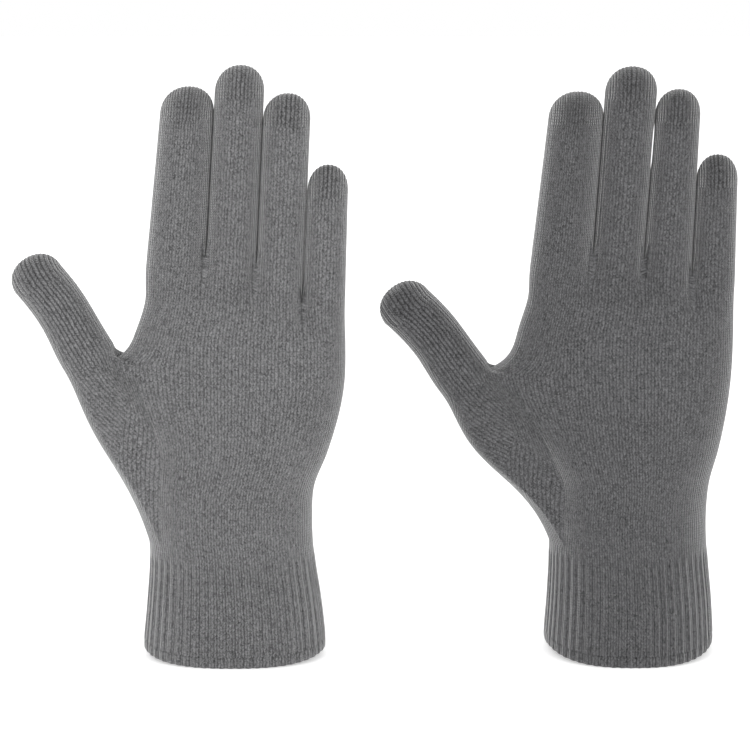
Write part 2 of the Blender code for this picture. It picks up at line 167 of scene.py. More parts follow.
# Name, place in metres, width in metres and power in watts.
LIGHTS = (
    ("key", (-0.8, -1.6, 1.6), 1.6, 9.0),
    ("fill", (1.4, -1.2, 0.9), 1.6, 3.0),
    ("back", (0.0, 1.4, 1.8), 1.8, 5.0),
)
LIGHT_TARGET = (0.0, 0.0, 0.12)
CAMERA_TILT = math.radians(12.0)
CAMERA_DISTANCE = 1.15
CAMERA_TARGET = (-0.0007, 0.0, 0.1195)
CAMERA_LENS = 131.4
FLOOR_REACH = 3.0
FLOOR_GLOW = 0.45


def smooth(t):
    t = np.clip(t, 0.0, 1.0)
    return t * t * (3.0 - 2.0 * t)


def through(places, values, at):
    """Cubic Hermite curve through the values, with slopes from the neighbours on each side."""
    slopes = np.gradient(values, places)
    i = np.clip(np.searchsorted(places, at) - 1, 0, len(places) - 2)
    step = places[i + 1] - places[i]
    t = np.clip((at - places[i]) / step, 0.0, 1.0)
    t2, t3 = t * t, t * t * t
    return (
        (2 * t3 - 3 * t2 + 1) * values[i]
        + (t3 - 2 * t2 + t) * step * slopes[i]
        + (3 * t2 - 2 * t3) * values[i + 1]
        + (t3 - t2) * step * slopes[i + 1]
    )


def oval(angle, power):
    """Unit superellipse: cosine and sine, each raised to 2 / power with its sign kept."""
    c, s = np.cos(angle), np.sin(angle)
    return np.sign(c) * np.abs(c) ** (2 / power), np.sign(s) * np.abs(s) ** (2 / power)


def ring_angles(front, side, corner=CORNER):
    """Angles once round a section: front from left to right, right side, back, left side."""
    turn = math.pi
    runs = (
        np.linspace(turn + corner, 2 * turn - corner, front + 1)[:-1],
        np.linspace(-corner, corner, side + 1)[:-1],
        np.linspace(corner, turn - corner, front + 1)[:-1],
        np.linspace(turn - corner, turn + corner, side + 1)[:-1],
    )
    return np.concatenate(runs)


def joint(name):
    return next(found for found in frame["joints"] if found["name"] == name)


def joint_place(name):
    return np.array(joint(name)["pos_m"], float) / MM


def mm_box(node):
    low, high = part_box(node)
    return np.array(low) / MM, np.array(high) / MM


def wrapped(grid):
    """The grid with its first column again at its end."""
    return np.concatenate([grid, grid[:, :1]], 1)


def run_length(points, axis):
    """Distance walked along an axis of a grid, from its first row or column."""
    steps = np.linalg.norm(np.diff(points, axis=axis), axis=-1)
    zero = np.zeros_like(np.take(steps, [0], axis=axis))
    return np.concatenate([zero, np.cumsum(steps, axis=axis)], axis=axis)


def closed_run(ring):
    """Distance walked round a closed ring, one value more than it has points."""
    return run_length(np.vstack([ring, ring[:1]]), 0)


class Skin:
    """A grid of points, rows by columns and closed round the columns.

    The wales and courses, in millimetres of fabric, have one column more than the points, where the knit ends
    at the line it starts from. The groove shade says how dark the painted shade in the grooves is. A mask of the
    quads leaves an opening where it is false.
    """

    def __init__(self, points, wales, courses, gather=None, mask=None):
        rows, columns = points.shape[:2]
        self.points = points
        self.wales = np.broadcast_to(wales, (rows, columns + 1))
        self.courses = np.broadcast_to(courses, (rows, columns + 1))
        self.gather = np.zeros((rows, columns)) if gather is None else gather
        self.mask = np.ones((rows - 1, columns), bool) if mask is None else mask

    def quads(self):
        """Indices of the corners of every quad, and the wale and course at each corner."""
        rows, columns = self.points.shape[:2]
        i = np.arange(columns)
        j = np.arange(rows - 1)[:, None] * columns
        right = (i + 1) % columns
        quads = np.stack([j + i, j + right, j + columns + right, j + columns + i], -1)
        knit = []
        for place in (self.wales, self.courses):
            low, high = place[:-1], place[1:]
            knit.append(np.stack([low[:, i], low[:, i + 1], high[:, i + 1], high[:, i]], -1)[self.mask])
        return quads[self.mask], np.stack(knit, -1)


def lengths(names, bounds, points, wales, courses, gather):
    """The grid cut across at the bounds, into skins that share their end rows."""
    skins = {}
    for name, first, last in zip(names, bounds, bounds[1:]):
        rows = slice(first, last + 1)
        skins[name] = Skin(points[rows], wales[rows], courses[rows], gather[rows])
    return skins


def vertex_normals(skins):
    """Normals shared by all skins: face normals, by area, summed where points coincide."""
    points = np.concatenate([skin.points.reshape(-1, 3) for skin in skins])
    starts = np.cumsum([0] + [skin.points.shape[0] * skin.points.shape[1] for skin in skins])
    faces = np.concatenate([skin.quads()[0] + start for skin, start in zip(skins, starts)])
    a, b, c, d = (points[faces[:, corner]] for corner in range(4))
    normal = np.cross(c - a, d - b)
    _, index = np.unique(np.round(points, 3), axis=0, return_inverse=True)
    index = index.reshape(-1)
    total = np.zeros((index.max() + 1, 3))
    for corner in range(4):
        for axis in range(3):
            total[:, axis] += np.bincount(index[faces[:, corner]], normal[:, axis], len(total))
    total /= np.maximum(np.linalg.norm(total, axis=1, keepdims=True), 1e-12)
    shared = total[index]
    return [
        shared[start:end].reshape(skin.points.shape) for skin, start, end in zip(skins, starts, starts[1:])
    ]


def skin_faces(skin):
    """Quads of both walls and of the rim, with the wale and course at each corner."""
    outer = skin.points.reshape(-1, 3)
    count = len(outer)
    quads, uv = skin.quads()
    edges = np.concatenate([quads[:, [k, (k + 1) % 4]] for k in range(4)])
    edge_uv = np.concatenate([uv[:, [k, (k + 1) % 4]] for k in range(4)])
    _, index = np.unique(np.round(outer, 3), axis=0, return_inverse=True)
    keys = index.reshape(-1)[edges]
    whole = keys[:, 0] != keys[:, 1]
    edges, keys, edge_uv = edges[whole], keys[whole], edge_uv[whole]
    many = index.max() + 1
    forward = keys[:, 0] * many + keys[:, 1]
    backward = keys[:, 1] * many + keys[:, 0]
    border = ~np.isin(forward, backward)
    rim, rim_uv = edges[border], edge_uv[border]
    rim_quads = np.stack([rim[:, 1], rim[:, 0], rim[:, 0] + count, rim[:, 1] + count], -1)
    rim_uvs = np.stack([rim_uv[:, 1], rim_uv[:, 0], rim_uv[:, 0], rim_uv[:, 1]], 1)
    faces = np.concatenate([quads, quads[:, ::-1] + count, rim_quads])
    return faces, np.concatenate([uv, uv[:, ::-1], rim_uvs])


def skin_object(name, skin, normals, thickness, material):
    """A mesh with the skin outside, the same grid moved inwards by the thickness, and a rim between them."""
    outer = skin.points.reshape(-1, 3)
    facing = normals.reshape(-1, 3)
    faces, uvs = skin_faces(skin)
    used, back = np.unique(faces, return_inverse=True)
    faces = back.reshape(faces.shape)
    points = np.concatenate([outer, outer - facing * thickness])[used] * MM
    mesh = bpy.data.meshes.new(name)
    mesh.vertices.add(len(used))
    mesh.vertices.foreach_set("co", points.astype(np.float32).ravel())
    mesh.loops.add(faces.size)
    mesh.loops.foreach_set("vertex_index", faces.astype(np.int32).ravel())
    mesh.polygons.add(len(faces))
    mesh.polygons.foreach_set("loop_start", np.arange(0, faces.size, 4, dtype=np.int32))
    mesh.polygons.foreach_set("use_smooth", np.ones(len(faces), bool))
    layer = mesh.uv_layers.new(name="knit")
    layer.data.foreach_set("uv", uvs.astype(np.float32).ravel())
    # Painted shade in the grooves, per point of the outer wall; the inner wall gets none.
    gather = np.concatenate([skin.gather.ravel(), np.zeros(len(outer))])[used]
    attribute = mesh.attributes.new("gather", "FLOAT", "POINT")
    attribute.data.foreach_set("value", gather.astype(np.float32))
    mesh.update()
    both = np.concatenate([facing, -facing])[used]
    mesh.normals_split_custom_set_from_vertices(both.astype(np.float32))
    mesh.materials.append(material)
    obj = bpy.data.objects.new(name, mesh)
    bpy.context.scene.collection.objects.link(obj)
    return obj


def finger_lines(shape):
    """Each finger's middle and half-width at the finger row and at the height above it, side by side."""
    lines = []
    for key, shift, out in zip(("web", "top"), ("row_shift", "top_shift"), shape["index_out"]):
        half = np.array(shape[key])
        pitches = half[:-1] + half[1:] + FINGER_GAP
        places = np.concatenate([[half[0]], half[0] + np.cumsum(pitches)])
        places = places - (places[-1] + half[-1]) / 2 + shape[shift]
        places[0] -= out / 2
        half[0] += out / 2
        lines.append((places, half + FINGER_SPARE))
    return lines


class Hand:
    """One glove's surface as grids that meet along shared points.

    The palm's columns go over the front from the index finger to the little one, round that side, back over
    the far side, and round the index finger's side.
    """

    def __init__(self, side, settings):
        self.side = side
        self.shape = SHAPES[side]
        self.settings = settings
        low, high = mm_box(f"{side}_cuff_hem")
        self.middle = (low + high) / 2
        self.front = settings.front_columns
        self.edge = settings.side_columns
        self.step = settings.row_step / MM
        self.angles = ring_angles(self.front, self.edge)
        self.lines = finger_lines(self.shape)
        self.wrist_height = joint_place(f"{side}_wrist_bend")[2]

    def finger_line(self, k, z):
        """Middle x and half-width of a finger at a height."""
        (low, low_half), (high, high_half) = self.lines
        share = (z - FINGER_ROW) / FAN_RISE
        return (
            self.middle[0] + low[k] + (high[k] - low[k]) * share,
            low_half[k] + (high_half[k] - low_half[k]) * share,
        )

    def scallop(self, z):
        """Section through four fingers side by side; a column that two of them share lies midway."""
        n, e = self.front, self.edge
        runs = [(k, k * n, 0, n + 1) for k in range(4)]
        runs += [(k, 4 * n + e + (3 - k) * n, n + e, n + 1) for k in range(4)]
        runs += [(3, 4 * n + 1, n + 1, e - 1), (0, 8 * n + e + 1, 2 * n + e + 1, e - 1)]
        unit_x, unit_y = oval(self.angles, FINGER_POWER)
        columns = z.shape[-1]
        x, y, weight = np.zeros_like(z), np.zeros_like(z), np.zeros(columns)
        for k, first, first_angle, count in runs:
            at = (first + np.arange(count)) % columns
            ring = (first_angle + np.arange(count)) % len(self.angles)
            middle, half = self.finger_line(k, z[..., at])
            x[..., at] += middle + half * unit_x[ring]
            y[..., at] += half * FINGER_DEPTH * unit_y[ring]
            weight[at] += 1
        return x / weight, y / weight

    def stations(self):
        """Heights, shifts of the middle, half-widths and half-depths of the plain sections."""
        shape = self.shape
        half = sum(shape["web"]) + 1.5 * FINGER_GAP
        wrist, depth = shape["wrist"]
        hem, hem_depth = shape["hem"]
        knuckle = shape["knuckle"]
        finger_depth = max(shape["web"]) * FINGER_DEPTH
        palm, row = shape["palm_shift"], shape["row_shift"]
        out = shape["knuckle_out"] / 2
        rows = (
            (0.0, 0.0, hem, hem_depth),
            (24.0, 0.0, (hem + wrist) / 2, (hem_depth + depth) / 2),
            (44.0, -0.7, wrist + 0.1, depth - 0.3),
            (60.0, -1.5, wrist + 0.2, depth),
            (74.0, -0.9, wrist + 0.6, depth - 0.4),
            (88.3, 0.6 * palm, half - 2.5, depth - 1.0),
            (115.2, palm, half + 3.0, (depth + knuckle) / 2),
            (137.6, (palm + row) / 2 - out, half + 2.0 + out, knuckle + 1.5),
            (154.4, row - out, half - 0.2 + out, knuckle - 1.0),
            (160.0, row - out, half - 0.5 + out, finger_depth),
            (175.0, row - out, half - 0.5 + out, finger_depth),
        )
        return np.array(rows).T

    def plain_angles(self, spread):
        """Angle of each column of a plain section, by the distance walked over its front."""
        n, e = self.front, self.edge
        angles = np.linspace(math.pi + PALM_CORNER, 2 * math.pi - PALM_CORNER, 400)
        x, y = oval(angles, PALM_POWER)
        run = run_length(np.stack([x, 0.5 * y], -1), 0)
        angle = np.interp((spread + 1) / 2, run / run[-1], angles)
        angle = np.where(np.arange(len(spread)) > 4 * n, -angle, angle)
        angle[4 * n : 4 * n + e + 1] = np.linspace(-PALM_CORNER, PALM_CORNER, e + 1)
        angle[8 * n + e :] = np.linspace(math.pi - PALM_CORNER, math.pi + PALM_CORNER, e + 1)[:-1]
        return angle

    def plain(self, z, spread):
        """Smooth section of the cuff and palm, a superellipse, at a height for each column."""
        heights, shifts, widths, depths = self.stations()
        unit_x, unit_y = oval(self.plain_angles(spread), PALM_POWER)
        middle = self.middle[0] + through(heights, shifts, z)
        return middle + through(heights, widths, z) * unit_x, through(heights, depths, z) * unit_y

    def spread(self):
        """Each column's place across the four fingers, from -1 to 1, evenly spaced within each finger."""
        n, e = self.front, self.edge
        places, half = self.lines[0]
        left, right = places - half, places + half
        ends = np.concatenate([left[:1], (right[:-1] + left[1:]) / 2, right[-1:]])
        across = (ends - ends[0]) / (ends[-1] - ends[0]) * 2 - 1
        front = np.interp(np.arange(4 * n + 1) / n, np.arange(5), across)
        return np.concatenate([front, np.ones(e - 1), front[::-1], -np.ones(e - 1)])

    def tops(self):
        """Height of the palm's upper edge: the crotches joined by a smooth step over each finger."""
        n, e = self.front, self.edge
        first, second, third = self.shape["crotches"]
        ends = ((first, first), (first, second), (second, third), (third, third))
        t = smooth(np.arange(n) / n)
        front = np.concatenate([a + (b - a) * t for a, b in ends])
        back = np.concatenate([front, [third]])[::-1][: 4 * n]
        return np.concatenate([front, np.full(e, third), back, np.full(e, first)])

    def build_body(self):
        """Cuff, wrist and palm as one grid from the hem to the crotches.

        A smooth step below the crotches turns the plain section into four fingers, and another lifts the
        hem's sides.
        """
        tops, spread, wrist = self.tops(), self.spread(), self.wrist_height
        low_rows = np.arange(self.settings.hem_height / MM, wrist - WRIST_REACH, self.step)
        count = int(2 * WRIST_REACH / self.step) + 1
        wrist_rows = np.linspace(wrist - WRIST_REACH, wrist + WRIST_REACH, count)
        start = wrist + WRIST_REACH
        palm_rows = np.linspace(0, 1, int((max(tops) - start) / self.step) + 1)[1:, None]
        straight = np.concatenate([low_rows, wrist_rows])[:, None] * np.ones(len(tops))
        z = np.concatenate([straight, start + (tops - start) * palm_rows])
        x, y = self.flare(*self.plain(z, spread), z, spread)
        finger_x, finger_y = self.scallop(z)
        part = smooth(1 - (tops - z) / CROTCH_BLEND) * (z > start)
        aside = np.abs(spread) ** 3
        raised = z + self.shape["hem_lift"] * aside * smooth(1 - z / HEM_RISE)
        y = self.middle[1] + y + (finger_y - y) * part
        points = np.stack([x + (finger_x - x) * part, y, raised], -1)
        self.wrist_rows = len(low_rows), len(low_rows) + count - 1
        self.wale = closed_run(points[np.argmin(np.abs(z[:, 0] - WALE_HEIGHT))])
        self.body_points = self.ribs(points, z)
        self.palm_normals = vertex_normals([Skin(self.body_points, self.wale, 0.0)])[0]

    def flare(self, x, y, z, spread):
        """Draws the index side out to the web of the thumb, most at the crotch, fading quickly above it."""
        across = smooth((-spread - 0.45) / 0.5)
        above = np.maximum(z - self.shape["thumb_crotch"], 0.0)
        below = np.maximum(self.shape["thumb_crotch"] - z, 0.0)
        rise = np.exp(-above / 5.2) * smooth(1 - below / 40.0) * across
        return x - self.shape["web_flare"] * rise, y * (1 - 0.30 * rise)

    def ribs(self, points, z):
        """Moves the cuff in and out with a cosine that is flattened on top and fades above the cuff."""
        run = closed_run(points[np.argmin(np.abs(z[:, 0] - RIB_HEIGHT))])
        count = round(run[-1] / (self.settings.rib_pitch / MM))
        wave = np.cos(2 * math.pi * run[:-1] / run[-1] * count)
        wave = np.sign(wave) * np.abs(wave) ** 0.7
        fade = smooth((self.settings.rib_top / MM - z) / 5.0)
        along = np.roll(points, -1, 1) - np.roll(points, 1, 1)
        normal = np.stack([along[..., 1], -along[..., 0], np.zeros_like(z)], -1)
        normal /= np.maximum(np.linalg.norm(normal, axis=-1, keepdims=True), 1e-9)
        # Painted shade in the rib valleys: the grooves there are drawn darker, most where the rib dips, fading above
        # the cuff.
        self.rib_groove = RIB_VALLEY_SHADE * (1 - wave) / 2 * fade
        return points + normal * (wave * fade * self.settings.rib_depth / MM)[..., None]

    def patch(self):
        """First and last row of the opening that the thumb grows from, and its columns from back to front."""
        z = self.body_points[:, -1, 2]
        first = int(np.argmin(np.abs(z - self.shape["thumb_bottom"])))
        last = int(np.argmin(np.abs(z - self.shape["thumb_crotch"])))
        reach = self.settings.thumb_reach
        across = np.arange(-(self.edge + reach), reach + 1) % self.body_points.shape[1]
        return first, last, across

    def body_skins(self):
        """The cuff, the wrist and the palm, the last two without the quads of the thumb's opening."""
        points = self.body_points
        courses = wrapped(points[..., 2])
        low, high = self.wrist_rows
        first, last, across = self.patch()
        mask = np.ones((len(points) - 1, points.shape[1]), bool)
        mask[first:last, across[:-1]] = False
        skins = {}
        for name, a, b in (("cuff", 0, low), ("wrist", low, high), ("palm", high, len(points) - 1)):
            rows = slice(a, b + 1)
            skins[name] = Skin(points[rows], self.wale, courses[rows], self.rib_groove[rows], mask[a:b])
        return skins

    def crotch_arc(self, k):
        """Points across the crotch right of finger k, from front to back, raised a little midway."""
        n, e = self.front, self.edge
        top = self.body_points[-1]
        front = top[(k + 1) * n]
        back = top[4 * n + e + (3 - k) * n]
        t = np.linspace(0, 1, e + 1)[:, None]
        arc = front + (back - front) * t
        arc[:, 2] += CROTCH_RISE * np.sin(math.pi * t[:, 0])
        return arc

    def start_ring(self, k):
        """The ring of shared points that finger k starts from."""
        n, e = self.front, self.edge
        top = self.body_points[-1]
        front = top[k * n : (k + 1) * n]
        back = top[4 * n + e + (3 - k) * n + np.arange(n)]
        right = top[4 * n : 4 * n + e] if k == 3 else self.crotch_arc(k)[:-1]
        left = top[8 * n + e :] if k == 0 else self.crotch_arc(k - 1)[:0:-1]
        return np.concatenate([front, right, back, left])

    def slit(self, k, z, unit_x):
        """By how far the middle and ring fingers draw back from each other, over the slit's height."""
        low, high, fade = SLIT
        facing = {1: 1.0, 2: -1.0}.get(k, 0.0)
        narrow = smooth((z - low) / fade) * smooth((high - z) / fade)
        return facing * self.shape["slit"] * narrow * smooth((facing * unit_x - 0.4) / 0.5)

    def finger(self, k):
        """Finger k as grids: three lengths between the joints, and the tip with its rounded end.

        A superellipse about a leaning middle line, which a smooth step joins to the ring that it starts from.
        """
        name = f"{self.side}_{FINGERS[k]}"
        base, middle, end = (joint_place(f"{name}_{part}_bend")[2] for part in LENGTHS)
        top = mm_box(f"{name}_tip")[1][2]
        dome = top - FINGER_DOME
        foot = top - self.settings.tip_zone / MM
        cuts = [(base + middle) / 2, (middle + end) / 2, foot, dome]
        ring = self.start_ring(k)
        rows, marks, low = [ring[None, :, 2]], [0], ring[:, 2]
        for high in cuts:
            count = max(2, int((high - low.mean()) / self.step))
            rows.append(low + (high - low) * np.linspace(0, 1, count + 1)[1:, None])
            marks.append(marks[-1] + count)
            low = np.full_like(low, high)
        z = np.concatenate(rows)
        unit_x, unit_y = oval(self.angles, FINGER_POWER)
        line, half = self.finger_line(k, z)
        own_x = line + half * unit_x - self.slit(k, z, unit_x)
        own = np.stack([own_x, self.middle[1] + half * FINGER_DEPTH * unit_y], -1)
        start_x = ring[:, 0] + line - self.finger_line(k, ring[:, 2])[0]
        start = np.stack([start_x, np.broadcast_to(ring[:, 1], z.shape)], -1)
        away = smooth((z - ring[:, 2]) / FOOT_BLEND)[..., None]
        points = np.concatenate([start * (1 - away) + own * away, z[..., None]], -1)
        cap, gather = self.dome(points[-1], FINGER_DOME, np.array([0.0, 0.0, 1.0]), unit_x)
        lean = (self.finger_line(k, top)[0] - self.finger_line(k, dome)[0]) / FINGER_DOME
        cap[..., 0] += (cap[..., 2] - dome) * lean
        points = np.concatenate([points, cap])
        # Painted shade: the grooves are darker on the sides where a finger touches its neighbour, where shade falls
        # between them, and over the conductive tip.
        beside = smooth((np.abs(unit_x) - 0.80) / 0.18) * np.where(unit_x < 0, k > 0, k < 3)
        shade_in_grooves = np.concatenate([np.zeros_like(z), gather])
        shade_in_grooves = np.maximum(shade_in_grooves, FINGER_CONTACT_SHADE * beside)
        shade_in_grooves = np.maximum(shade_in_grooves, TIP_GROOVE * smooth((points[..., 2] - foot + 6.0) / 8.0))
        courses = wrapped(run_length(points, 0) + points[0, :, 2])
        wales = np.broadcast_to(self.finger_wales(k), courses.shape)
        bounds = (*marks[:4], len(points) - 1)
        skins = lengths((*LENGTHS, "tip"), bounds, points, wales, courses, shade_in_grooves)
        return skins, [max(ring[:, 2]), *cuts[:3]]

    def finger_wales(self, k):
        """The palm's wales go on in front and behind, and the sides have wales of their own."""
        n, e = self.front, self.edge
        front = self.wale[k * n : (k + 1) * n + 1]
        first = 4 * n + e + (3 - k) * n
        back = self.wale[first : first + n + 1]
        right = front[-1] + np.linspace(0, SIDE_RUN, e + 1)[1:]
        back = back - back[0] + right[-1]
        left = back[-1] + np.linspace(0, SIDE_RUN, e + 1)[1:]
        return np.concatenate([front, right, back[1:], left])

    def dome(self, ring, height, along, unit_x):
        """Rounded end: each wale runs straight up to the closing line, as the depth falls to none.

        With X the unit width and p the power, a wale's height is height * (1 - |X|^p)^(1/p), and at share q
        of it the depth is (1 - q^p)^(1/p) of the ring's. A fine cosine across the wales notches the end.
        """
        p = DOME_POWER
        count = max(8, int(1.6 * height / self.step))
        q = np.sin(np.linspace(0, math.pi / 2, count + 1)[1:, None])
        rise = height * (1 - np.minimum(np.abs(unit_x), 1.0) ** p) ** (1 / p)
        depth = (1 - q**p) ** (1 / p)
        cap = ring + (q * rise)[..., None] * along
        cap[..., 1] = self.middle[1] + (ring[:, 1] - self.middle[1]) * depth
        # Painted shade in the grooves towards the closing line; it also sets how deep the notches are.
        gather = smooth((q - 0.62) / 0.30) * np.ones_like(rise)
        notch = np.cos(2 * math.pi * closed_run(ring)[:-1] / (1.2 * self.settings.wale / MM))
        cap += (0.16 * notch * gather * smooth(rise / 5.0))[..., None] * along
        return cap, gather

    def opening(self):
        """Rows and columns of the points round the thumb's opening, and how many go up it and across it."""
        first, last, across = self.patch()
        high, wide = last - first, len(across) - 1
        rows = [np.arange(first, last), np.full(wide, last), np.arange(last, first, -1), np.full(wide, first)]
        columns = [np.full(high, across[-1]), across[:0:-1], np.full(high, across[0]), across[:-1]]
        return np.concatenate(rows), np.concatenate(columns), high, wide

    def thumb(self):
        """The ball of the thumb as a loft from the palm's opening to the thumb's foot, then the thumb itself.

        A superellipse about an axis that bows outwards by a power of the length's share, less a squared sine.
        """
        loop_rows, loop_columns, high, wide = self.opening()
        loop = self.body_points[loop_rows, loop_columns]
        outward = self.palm_normals[loop_rows, loop_columns]
        unit_x, unit_y = oval(ring_angles(high, wide, THUMB_CORNER), FINGER_POWER)
        base, end = (joint_place(f"{self.side}_thumb_{part}_bend") for part in ("base", "end"))
        hinge = joint(f"{self.side}_thumb_base_bend")["axis"]
        along = np.array([-abs(hinge[2]), 0.0, abs(hinge[0])])
        side = np.array([along[2], 0.0, -along[0]])
        front = np.array([0.0, 1.0, 0.0])
        origin = np.array([base[0], self.middle[1], base[2]])
        low_half, high_half = self.shape["thumb"]
        outer = smooth((0.3 - unit_x) / 1.0)

        def sections(t):
            t = np.asarray(t, float)[:, None]
            share = np.clip(t / THUMB_LENGTH, 0.0, 1.0)
            half = low_half + (high_half - low_half) * t / THUMB_LENGTH
            half = half + THUMB_SPREAD * outer * smooth(1 - (t - THUMB_FOOT) / 22.0)
            bow = self.shape["thumb_bow"] * share**2.5 - THUMB_ARCH * np.sin(math.pi * share) ** 2
            across = (half * unit_x - bow)[..., None] * side
            return origin + along * t[..., None] + across + (half * FINGER_DEPTH * unit_y)[..., None] * front

        foot, after = sections([THUMB_FOOT, THUMB_FOOT + 1.0])
        ball = self.ball(loop, outward, foot, after - foot, along)
        count = len(ball) - 1
        bulge = np.sin(math.pi * np.linspace(0, 1, count + 1) ** 1.5) ** 2 * self.shape["ball_out"]
        ball = ball - side * (bulge[:, None] * smooth((0.3 - unit_x) / 1.3))[..., None]
        middle = float(np.linalg.norm(end - base)) / 2
        tip = THUMB_LENGTH - self.settings.tip_zone / MM
        stops = (THUMB_FOOT, middle, tip, THUMB_LENGTH - THUMB_DOME)
        rows, marks = [ball], [count]
        for a, b in zip(stops, stops[1:]):
            steps = max(2, int((b - a) / self.step))
            rows.append(sections(np.linspace(a, b, steps + 1)[1:]))
            marks.append(marks[-1] + steps)
        body = np.concatenate(rows)
        cap, gather = self.dome(body[-1], THUMB_DOME, along, unit_x)
        grid = np.concatenate([body, cap])
        # Painted shade in the grooves, rising along the ball to the thumb's own, and over the rounded end.
        drawn = THUMB_GROOVE * smooth(np.arange(len(body)) / count - 0.5)[:, None] * np.ones(len(loop))
        shade_in_grooves = np.concatenate([drawn, np.maximum(gather, THUMB_GROOVE)])
        wales, courses = self.thumb_knit(grid, origin, along, marks[-1], high // 2)
        join = int(0.5 * count)
        bounds = (join, marks[1], marks[2], len(grid) - 1)
        skins = {"root": self.ball_skin(grid[: join + 1], loop, outward, loop_columns)}
        skins.update(lengths(("base", "end", "tip"), bounds, grid, wales, courses, shade_in_grooves))
        crotch = float(((grid[join] - origin) @ along).max())
        return skins, [origin + along * t for t in (max(crotch, -11.0), middle, tip)]

    def ball(self, loop, outward, foot, ahead, along):
        """A cubic Hermite loft from the opening to the thumb's foot.

        It leaves along the palm's surface towards the thumb, and near the crotch it turns to the outer side.
        """
        flat = along - outward * (outward @ along)[:, None]
        flat /= np.linalg.norm(flat, axis=1, keepdims=True)
        height = (loop[:, 2] - loop[:, 2].min()) / (loop[:, 2].max() - loop[:, 2].min())
        mix = smooth((height - 0.8) / 0.2)[:, None]
        aside = 1 - np.abs(outward[:, 1:2])
        lift = 0.5 * (1 - smooth(height / 0.35))[:, None] * aside
        flat = flat * (1 - lift) + along * lift
        left = np.array([-1.0, 0.0, -0.12])
        left = left - outward * (outward @ left)[:, None]
        crotch_way = (along + np.array([-0.25, 0.0, -0.15])) * aside + left * (1 - aside)
        leave = flat * (1 - mix) + crotch_way * mix
        leave /= np.linalg.norm(leave, axis=1, keepdims=True)
        ahead = ahead / np.linalg.norm(ahead, axis=1, keepdims=True)
        chord = np.linalg.norm(foot - loop, axis=1, keepdims=True)
        t = np.linspace(0, 1, int(chord.mean() / self.step) + 1)[:, None, None]
        return (
            (2 * t**3 - 3 * t**2 + 1) * loop
            + (t**3 - 2 * t**2 + t) * leave * chord * (0.9 - 0.75 * mix)
            + (3 * t**2 - 2 * t**3) * foot
            + (t**3 - t**2) * ahead * chord * 0.9
        )

    def thumb_knit(self, grid, origin, along, last, middle):
        """Wales by the distance round and courses by the height on the axis, or walked on the rounded end."""
        grid = wrapped(grid)
        wales = run_length(grid, 1)
        wales = (wales - wales[:, middle][:, None]) / 1.25
        wales[last:] = wales[last]
        courses = (grid - origin) @ along
        courses[last:] = run_length(grid[last:], 0) + courses[last]
        return wales, courses

    def ball_skin(self, grid, loop, outward, columns):
        """The lower ball, whose knit goes on from the palm's by the offset in x and z."""
        ends = np.arange(len(loop) + 1) % len(loop)
        facing = -outward[ends][:, 1]
        behind = columns > self.body_points.shape[1] / 2
        wale = (self.wale[columns] - np.where(behind, self.wale[-1], 0.0))[ends]
        offset = wrapped(grid) - loop[ends]
        wales = wale + facing * offset[..., 0]
        courses = loop[ends][:, 2] + offset[..., 2] - (1 - np.abs(facing)) * offset[..., 0]
        return Skin(grid, wales, courses)

    def hem_skin(self):
        """The cuff's lowest outline swept round a rounded profile, from the outer wall to the inner one."""
        outline = self.body_points[0]
        smoothed = outline
        for _ in range(12):
            smoothed = (np.roll(smoothed, 1, 0) + 2 * smoothed + np.roll(smoothed, -1, 0)) / 4
        tangent = np.roll(smoothed, -1, 0) - np.roll(smoothed, 1, 0)
        normal = np.stack([tangent[:, 1], -tangent[:, 0], np.zeros(len(tangent))], -1)
        normal /= np.linalg.norm(normal, axis=1, keepdims=True)
        height = self.settings.hem_height / MM
        half = (height + HEM_TUCK) / 2
        c, s = oval(np.linspace(0, 2 * math.pi, 25)[:-1], HEM_POWER)
        grid = outline + normal * (HEM_HALF * (c - 1))[:, None, None]
        grid[..., 2] = (half + half * s)[:, None] + smoothed[:, 2] - height
        grid = np.concatenate([grid, grid[:1]])
        # The hem takes the painted shade of the cuff's lowest row.
        shade_in_grooves = np.broadcast_to(self.rib_groove[0], grid.shape[:2])
        return Skin(grid, closed_run(smoothed), wrapped(run_length(grid, 0)), shade_in_grooves)


def node_group(name, outputs, inputs):
    """An empty shader node group with float inputs and outputs."""
    group = bpy.data.node_groups.new(name, "ShaderNodeTree")
    for label in inputs:
        group.interface.new_socket(name=label, in_out="INPUT", socket_type="NodeSocketFloat")
    for label in outputs:
        group.interface.new_socket(name=label, in_out="OUTPUT", socket_type="NodeSocketFloat")
    source = group.nodes.new("NodeGroupInput")
    target = group.nodes.new("NodeGroupOutput")
    return group, source, target


class Maths:
    """Shorthand for chains of Math nodes in one tree."""

    def __init__(self, tree):
        self.tree = tree

    def __call__(self, operation, *values):
        node = self.tree.nodes.new("ShaderNodeMath")
        node.operation = operation
        for socket, value in zip(node.inputs, values):
            if isinstance(value, bpy.types.NodeSocket):
                self.tree.links.new(value, socket)
            else:
                socket.default_value = value
        return node.outputs[0]


def noise(tree, place, scale, detail=2.0):
    """A noise texture's value, with its mean taken off."""
    texture = tree.nodes.new("ShaderNodeTexNoise")
    texture.inputs["Scale"].default_value = scale
    texture.inputs["Detail"].default_value = detail
    tree.links.new(place, texture.inputs["Vector"])
    return Maths(tree)("SUBTRACT", texture.outputs["Fac"], 0.5)


def tint(tree, colour, shade):
    """The colour times the shade, as the surface's colour."""
    mix = tree.nodes.new("ShaderNodeVectorMath")
    mix.operation = "SCALE"
    mix.inputs[0].default_value = colour
    tree.links.new(shade, mix.inputs["Scale"])
    tree.links.new(mix.outputs[0], tree.nodes["Principled BSDF"].inputs["Base Color"])


